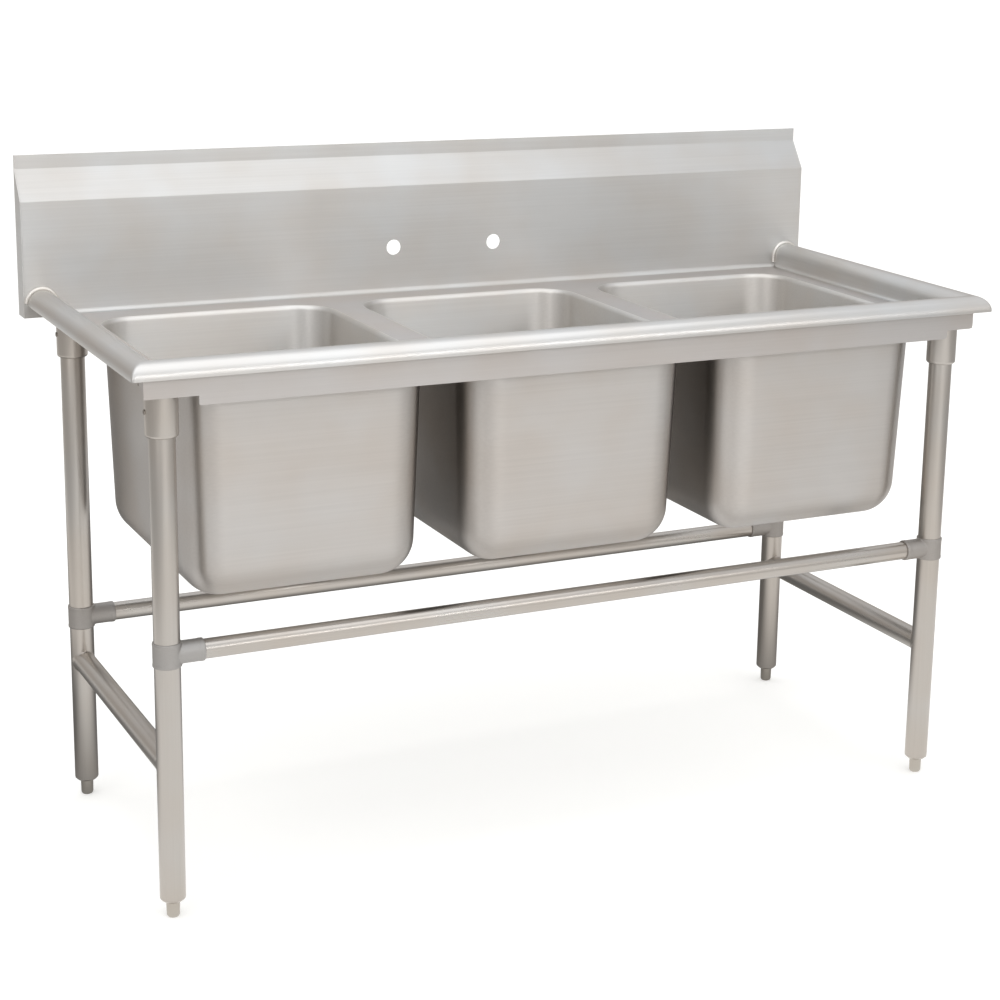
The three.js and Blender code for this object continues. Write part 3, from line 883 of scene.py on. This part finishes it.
class SINK_OT_feet(bpy.types.Operator):
    """Make the four adjustable feet"""

    bl_idname = "sink.feet"
    bl_label = "Feet"

    def execute(self, context):
        for corner in CORNERS:
            node = f"foot_{corner}"
            bottom, top, centre = low(node).z, high(node).z, middle(node)
            shoulder = low(f"foot_insert_{corner}").z - SEAM
            r = high(node).x - centre.x
            stem = 0.008
            outline = [
                (0, bottom),
                (r - 0.0022, bottom),
                (r - 0.0004, bottom + 0.0035),
                (r, shoulder - 0.0015),
                (r - 0.0015, shoulder),
                (stem, shoulder),
                (stem, top),
                (0, top),
            ]
            head = rounded(outline, [0, 0.0014, 0.0014, 0.0005, 0.0004, 0, 0, 0], 5)
            # The stem's thread has a 2 mm pitch, drawn as rings.
            threads = []
            z = shoulder + 0.001
            while z < top - 0.003:
                threads += [(stem, z), (stem - 0.0009, z + 0.001)]
                z += 0.002
            at = next(i for i, p in enumerate(head) if abs(p[0] - stem) < 1e-7 and p[1] > shoulder - 1e-7)
            bm = bmesh.new()
            turned(bm, head[: at + 1] + threads + head[at + 1 :], (centre.x, centre.y, 0), 64)
            body = f"foot_{corner}_body"
            piece(f"foot_bullet_{corner}", bm, "turned_304_bar", [node], body, sharp=35)
        return {"FINISHED"}


class SINK_OT_tees(bpy.types.Operator):
    """Make the four cast tees that hold the rails"""

    bl_idname = "sink.tees"
    bl_label = "Tees"

    def execute(self, context):
        for corner in CORNERS:
            node = f"tee_{corner}"
            row, side = corner.split("_")
            sign = 1 if side == "left" else -1
            leg = middle(f"leg_{corner}")
            bore = high(f"leg_{corner}").x - leg.x
            rail = middle(f"rail_{row}")
            rail_r = high(f"rail_{row}").z - rail.z
            half = (high(node).z - low(node).z) / 2
            sleeve_r = sleeve_radius(node, leg.y)
            reach = high(node).x - leg.x if sign > 0 else leg.x - low(node).x
            arm_r, lip = rail_r + 0.0026, 0.0004
            bm = bmesh.new()
            body = [
                (0, -half),
                (sleeve_r, -half),
                (sleeve_r, -half + 0.005),
                (sleeve_r - lip, -half + 0.0065),
            ]
            body += [(r, -z) for r, z in reversed(body)]
            rounding = [0, 0.0016, 0.0008, 0.0008, 0.0008, 0.0008, 0.0016, 0]
            turned(bm, rounded(body, rounding, 5), (0, 0, 0), 96)
            tee = rough_object(f"tee_{corner}_sleeve", bm)
            bm = bmesh.new()
            arm = [
                (0, 0),
                (arm_r - lip, 0),
                (arm_r - lip, reach - 0.0085),
                (arm_r, reach - 0.007),
                (arm_r, reach),
                (0, reach),
            ]
            turned(bm, rounded(arm, [0, 0, 0.0008, 0.0008, 0.0014, 0], 5), (0, 0, 0), 80, "X")
            tee = combine(tee, rough_object("arm", bm), "UNION")
            fill = tee.modifiers.new("casting_skin", "REMESH")
            fill.mode, fill.voxel_size = "VOXEL", 0.0009
            ease = tee.modifiers.new("casting_fillets", "SMOOTH")
            ease.factor, ease.iterations = 0.5, 7
            tee = settled(tee, tee.name)
            past = 0.005  # a cut runs this far past the surface
            leg_bore = (bore, "Z", -half - past, half + past)
            rail_bore = (rail_r, "X", bore / 2, reach + past)
            for r, axis, start, end in (leg_bore, rail_bore):
                bm = bmesh.new()
                turned(bm, [(0, start), (r, start), (r, end), (0, end)], (0, 0, 0), 96, axis)
                tee = combine(tee, rough_object("bore", bm), "DIFFERENCE")
            facing = Matrix.Rotation(0 if sign > 0 else math.pi, 4, "Z")
            tee.data.transform(Matrix.Translation((leg.x, leg.y, rail.z)) @ facing)
            tee.name = f"tee_casting_{corner}"
            dress(tee, "tumbled_die_casting", [node], sharp=40)
        return {"FINISHED"}


def sleeve_radius(node, y):
    """The sleeve is the widest thing about the leg, seen along the rail."""
    return min(high(node).y - y, y - low(node).y)


class SINK_OT_rails(bpy.types.Operator):
    """Make the two rails"""

    bl_idname = "sink.rails"
    bl_label = "Rails"

    def execute(self, context):
        for row in ("front", "back"):
            node = f"rail_{row}"
            centre = middle(node)
            r = high(node).z - centre.z
            bm = bmesh.new()
            profile = tube_profile(r, r - TUBE_WALL, low(node).x, high(node).x)
            turned(bm, profile, (0, centre.y, centre.z), 80, "X")
            piece(f"rail_tube_{row}", bm, "belt_polished_tube_rail", [node], sharp=40)
        return {"FINISHED"}


class SINK_OT_braces(bpy.types.Operator):
    """Make the two end braces, coped to the legs and welded"""

    bl_idname = "sink.braces"
    bl_label = "Braces"

    def execute(self, context):
        for side in ("left", "right"):
            node = f"brace_{side}"
            centre = middle(node)
            r = high(node).x - centre.x
            front, back = middle(f"leg_front_{side}"), middle(f"leg_back_{side}")
            leg = high(f"leg_front_{side}").x - front.x
            steps = 96

            def ring(radius, leg_y, towards, lift):
                """The tube's ring where it meets a leg, lift away from the leg's skin."""
                made = []
                for k in range(steps):
                    a = 2 * math.pi * k / steps
                    dx = radius * math.cos(a)
                    reach = math.sqrt(max(0.0, (leg + lift) ** 2 - dx * dx))
                    made.append((centre.x + dx, leg_y + towards * reach, centre.z + radius * math.sin(a)))
                return made

            weld = 0.0028  # leg length of the fillet weld
            widest = leg - 0.0001
            fillet = []
            for a in range(0, 91, 15):
                t = math.radians(a)
                fillet.append((min(r + weld * (1 - math.sin(t)), widest), weld * (1 - math.cos(t))))
            rows = [ring(r - TUBE_WALL, front.y, 1, 0)]
            rows += [ring(q, front.y, 1, lift) for q, lift in fillet]
            rows += [ring(q, back.y, -1, lift) for q, lift in reversed(fillet)]
            rows.append(ring(r - TUBE_WALL, back.y, -1, 0))
            bm = bmesh.new()
            grid(bm, rows, wrap_rows=True)
            piece(f"brace_tube_{side}", bm, "belt_polished_tube_brace", [node], sharp=50)
        return {"FINISHED"}


class SINK_OT_stage(bpy.types.Operator):
    """Make the floor, the soft lights and the camera"""

    bl_idname = "sink.stage"
    bl_label = "Stage"

    def execute(self, context):
        self.floor()
        self.sky()
        self.lights()
        self.camera()
        view = bpy.context.scene.view_settings
        view.view_transform, view.look = "Standard", "None"
        return {"FINISHED"}

    def floor(self):
        bm = bmesh.new()
        bmesh.ops.create_grid(bm, x_segments=8, y_segments=8, size=150)
        mesh = bpy.data.meshes.new("floor")
        bm.to_mesh(mesh)
        bm.free()
        made = bpy.data.objects.new("floor", mesh)
        bpy.context.scene.collection.objects.link(made)
        paper = bpy.data.materials.new("matte_painted_floor")  # even and pale, with no shine
        paper.use_nodes = True
        tree = paper.node_tree
        tree.nodes.clear()
        coat = put(tree, "ShaderNodeBsdfDiffuse", {"Color": (*settings("sink_finish").floor, 1)})
        glow = put(tree, "ShaderNodeEmission", {"Strength": 0.3})
        seen_floor = put(tree, "ShaderNodeAddShader", {0: (coat, 0), 1: (glow, 0)})
        # The metal sees a glowing sweep instead, all painted light: bright in front, with a painted shadow
        # under and behind the sink and painted dimming far to the sides.
        place = put(tree, "ShaderNodeTexCoord")
        apart = put(tree, "ShaderNodeSeparateXYZ", {0: (place, "Object")})
        beside = put(tree, "ShaderNodeMath", {0: (apart, "X")}, operation="ABSOLUTE")
        side = put(
            tree,
            "ShaderNodeMapRange",
            {"Value": (beside, 0), "From Min": 1.0, "From Max": 1.7},
            interpolation_type="SMOOTHSTEP",
        )
        ahead = put(
            tree,
            "ShaderNodeMapRange",
            {"Value": (apart, "Y"), "From Min": 0.45, "From Max": -0.25},
            interpolation_type="SMOOTHSTEP",
        )
        near = put(tree, "ShaderNodeMath", {0: (side, 0), 1: (ahead, 0)}, operation="MAXIMUM")
        far = put(
            tree,
            "ShaderNodeMapRange",
            {"Value": (beside, 0), "From Min": 1.7, "From Max": 3.0, "To Min": 1.0, "To Max": 0.4},
            interpolation_type="SMOOTHSTEP",
        )
        # Level of the painted light: the painted shadow under the sink and the painted dimming to the sides.
        lit = put(tree, "ShaderNodeMath", {0: (near, 0), 1: (far, 0)}, operation="MULTIPLY")
        level = put(tree, "ShaderNodeMapRange", {"Value": (lit, 0), "To Min": 0.18, "To Max": 1.05})
        sweep = put(tree, "ShaderNodeEmission", {"Color": (1.0, 0.985, 0.965, 1), "Strength": (level, 0)})
        seen = put(tree, "ShaderNodeLightPath")
        sockets = {0: (seen, "Is Camera Ray"), 1: (sweep, 0), 2: (seen_floor, 0)}
        both = put(tree, "ShaderNodeMixShader", sockets)
        put(tree, "ShaderNodeOutputMaterial", {"Surface": (both, 0)})
        mesh.materials.append(paper)

    def sky(self):
        """A plain white ground for the eye; metal sees a soft room, bright in front and above."""
        world = bpy.data.worlds.new("studio")
        bpy.context.scene.world = world
        world.use_nodes = True
        tree = world.node_tree
        tree.nodes.clear()
        place = put(tree, "ShaderNodeTexCoord")
        apart = put(tree, "ShaderNodeSeparateXYZ", {0: (place, "Generated")})
        rise = put(
            tree,
            "ShaderNodeMapRange",
            {"Value": (apart, "Z"), "From Min": 0.0, "From Max": 0.75},
            interpolation_type="SMOOTHSTEP",
        )
        beside = put(tree, "ShaderNodeMath", {0: (apart, "X")}, operation="ABSOLUTE")
        away = put(
            tree,
            "ShaderNodeMath",
            {0: (beside, 0), 1: 0.45, 2: (apart, "Y")},
            operation="MULTIPLY_ADD",
        )
        behind = put(
            tree,
            "ShaderNodeMapRange",
            {"Value": (away, 0), "From Min": -0.75, "From Max": 0.45},
            interpolation_type="SMOOTHSTEP",
        )
        front_wall, rear_wall, ceiling = ((*linear(c), 1) for c in ("#faf7f4", "#b2aba4", "#f4f5f7"))
        walls = put(
            tree,
            "ShaderNodeMix",
            {MIX_FACTOR: (behind, 0), MIX_A: front_wall, MIX_B: rear_wall},
            data_type="RGBA",
        )
        room = put(
            tree,
            "ShaderNodeMix",
            {MIX_FACTOR: (rise, 0), MIX_A: (walls, MIX_COLOUR), MIX_B: ceiling},
            data_type="RGBA",
        )
        seen = put(tree, "ShaderNodeLightPath")
        plain = put(
            tree,
            "ShaderNodeMath",
            {0: (seen, "Is Camera Ray"), 1: (seen, "Is Diffuse Ray")},
            operation="ADD",
        )
        both = put(
            tree,
            "ShaderNodeMix",
            {MIX_FACTOR: (plain, 0), MIX_A: (room, MIX_COLOUR), MIX_B: (1.0, 1.0, 1.0, 1.0)},
            data_type="RGBA",
        )
        glow = put(tree, "ShaderNodeBackground", {"Color": (both, MIX_COLOUR), "Strength": 1.0})
        put(tree, "ShaderNodeOutputWorld", {"Surface": (glow, 0)})

    def lights(self):
        for name, place, aim, size, power in (
            ("overhead", (-0.3, -0.6, 3.4), (0, 0, 0.5), (4.2, 3.0), 27),
            ("strip", (0.9, -4.6, 2.3), (0, 0, 0.8), (5.0, 0.4), 24),
            ("front_left", (-4.0, -2.6, 2.2), (0, 0, 0.7), (1.6, 2.4), 12),
        ):
            lamp = bpy.data.lights.new(name, "AREA")
            lamp.shape, lamp.size, lamp.size_y, lamp.energy = "RECTANGLE", *size, power
            made = bpy.data.objects.new(name, lamp)
            made.location = place
            made.rotation_euler = (Vector(aim) - Vector(place)).to_track_quat("-Z", "Y").to_euler()
            bpy.context.scene.collection.objects.link(made)

    def camera(self):
        data = bpy.data.cameras.new("camera")
        data.sensor_width, data.lens = 36, 77.5
        data.shift_x, data.shift_y = -0.06, -0.08
        made = bpy.data.objects.new("camera", data)
        bpy.context.scene.collection.objects.link(made)
        yaw, pitch, roll = 0.47045, 0.23942, 0.020646
        ahead = Vector((math.sin(yaw) * math.cos(pitch), math.cos(yaw) * math.cos(pitch), -math.sin(pitch)))
        right = Vector((math.cos(yaw), -math.sin(yaw), 0))
        up = right.cross(ahead)
        right, up = right * math.cos(roll) + up * math.sin(roll), up * math.cos(roll) - right * math.sin(roll)
        turn = Matrix((right, up, -ahead)).transposed()
        made.matrix_world = Matrix.Translation((-1.611, -3.3569, 1.594)) @ turn.to_4x4()
        bpy.context.scene.camera = made


OPERATORS = (
    SINK_OT_deck,
    SINK_OT_rims,
    SINK_OT_backsplash,
    SINK_OT_bowls,
    SINK_OT_apron,
    SINK_OT_small_parts,
    SINK_OT_sockets,
    SINK_OT_legs,
    SINK_OT_feet,
    SINK_OT_tees,
    SINK_OT_rails,
    SINK_OT_braces,
    SINK_OT_stage,
)


class SINK_PT_panel(bpy.types.Panel):
    """Lists the makers and their settings"""

    bl_idname = "SINK_PT_panel"
    bl_label = "Three compartment sink"
    bl_space_type = "VIEW_3D"
    bl_region_type = "UI"
    bl_category = "Sink"

    def draw(self, context):
        for group, kind in GROUPS.items():
            box = self.layout.box()
            for key in kind.__annotations__:
                box.prop(getattr(context.scene, group), key)
        for operator in OPERATORS:
            self.layout.operator(operator.bl_idname)


CLASSES = (*GROUPS.values(), *OPERATORS, SINK_PT_panel)


def register():
    for kind in CLASSES:
        bpy.utils.register_class(kind)
    for group, kind in GROUPS.items():
        setattr(bpy.types.Scene, group, PointerProperty(type=kind))


def unregister():
    for group in GROUPS:
        delattr(bpy.types.Scene, group)
    for kind in reversed(CLASSES):
        bpy.utils.unregister_class(kind)


def main():
    register()
    for operator in OPERATORS:
        group, name = operator.bl_idname.split(".")
        getattr(getattr(bpy.ops, group), name)()


if __name__ == "__main__":
    main()
